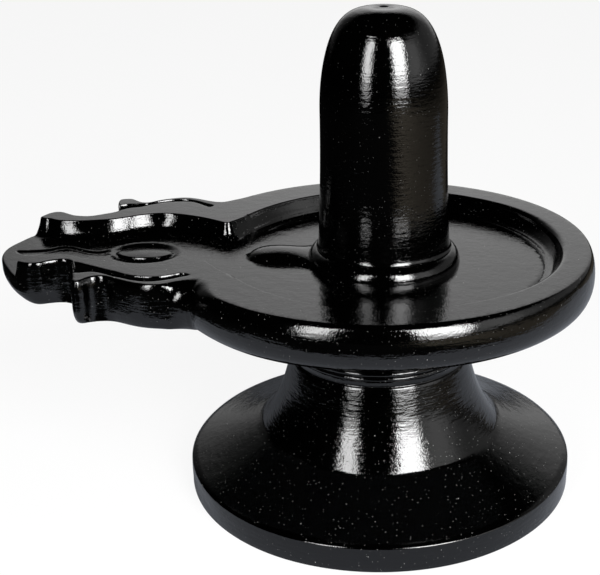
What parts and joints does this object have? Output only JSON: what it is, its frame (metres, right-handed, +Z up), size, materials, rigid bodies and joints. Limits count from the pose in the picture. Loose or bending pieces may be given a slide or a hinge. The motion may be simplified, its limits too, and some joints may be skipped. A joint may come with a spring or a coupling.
{
  "type": "shiva lingam on yoni pedestal",
  "caption": "Domed upright stone in the collar of a round basin with a channelled spout, on a flared neck and disc foot; liquid poured over it drains from the spout.",
  "frame": {"origin": "centre of the foot's flat underside, on the lingam's axis", "axes": "+Z up along the lingam's axis, the dish's spout points along -X, +Y to the side"},
  "size_m": [0.3042, 0.2164, 0.2452],
  "materials": {
    "black_granite": "polished"
  },
  "bodies": {
    "root": {"pedestal": "black_granite", "yoni_dish": "black_granite", "lingam": "black_granite"}
  },
  "joints": []
}
